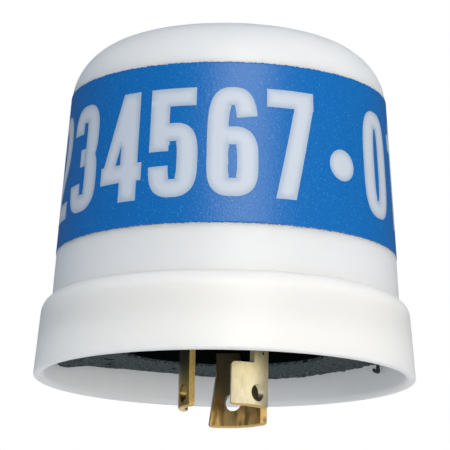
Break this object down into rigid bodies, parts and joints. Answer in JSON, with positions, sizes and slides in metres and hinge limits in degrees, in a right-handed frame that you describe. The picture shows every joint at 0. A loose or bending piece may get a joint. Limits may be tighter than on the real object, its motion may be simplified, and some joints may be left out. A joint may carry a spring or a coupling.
{
  "type": "photocell switch",
  "caption": "Dome-shaped photocell switch for outdoor lights: translucent skirted cap with a printed band over a round base with curved locking blades and a bimetal contact switch inside.",
  "frame": {"origin": "on the axis of the plug, at the height of the gasket's sealing face", "axes": "+Z along the axis from the blades to the dome, +Y towards the stem of the long neutral blade"},
  "size_m": [0.0824, 0.0824, 0.0835],
  "materials": {
    "cover_polypropylene": "moulded, satin, translucent",
    "band_ink": "printed ink, satin",
    "gasket_foam": "fibrous closed-cell foam, matt",
    "base_phenolic": "moulded phenolic, matt",
    "blade_brass": "stamped and tumbled, lightly tarnished",
    "rivet_brass": "headed, bright",
    "bracket_brass": "stamped",
    "bimetal": "rolled strip",
    "contact_silver": "bright",
    "screw_brass": "turned",
    "heater_ceramic": "matt glaze",
    "cell_ceramic": "sintered, matt",
    "window_glass": "clear",
    "holder_nylon": "moulded, satin",
    "tinned_copper": "tinned",
    "sleeve_glass_fibre": "braided and varnished",
    "arrester_epoxy": "dipped epoxy"
  },
  "bodies": {
    "housing": {"cover": "cover_polypropylene", "printed_band": "band_ink", "gasket": "gasket_foam", "base_plate": "base_phenolic", "line_blade": "blade_brass", "load_blade": "blade_brass", "neutral_blade": "blade_brass", "blade_rivets": "rivet_brass", "rivet_washers": "rivet_brass", "line_anchor": "bracket_brass", "contact_bracket": "bracket_brass", "neutral_lug": "bracket_brass", "fixed_contact": "contact_silver", "calibration_screw": "screw_brass", "lock_nut": "screw_brass", "heater_resistor": "heater_ceramic", "photocell": "cell_ceramic", "cell_window": "window_glass", "cell_holder": "holder_nylon", "lead_splice": "tinned_copper", "lead_sleeves": "sleeve_glass_fibre", "surge_arrester": "arrester_epoxy"},
    "contact_arm": {"bimetal_arm": "bimetal", "moving_contact": "contact_silver"}
  },
  "joints": [
    {"name": "contact_arm_flex", "type": "hinge", "parent": "housing", "child": "contact_arm", "pos_m": [0.0041, -0.009, 0.018], "axis": [0, 1, 0], "range_deg": [0, 4], "stiffness_Nm_per_rad": 0.2, "springref_deg": -1.72}
  ]
}
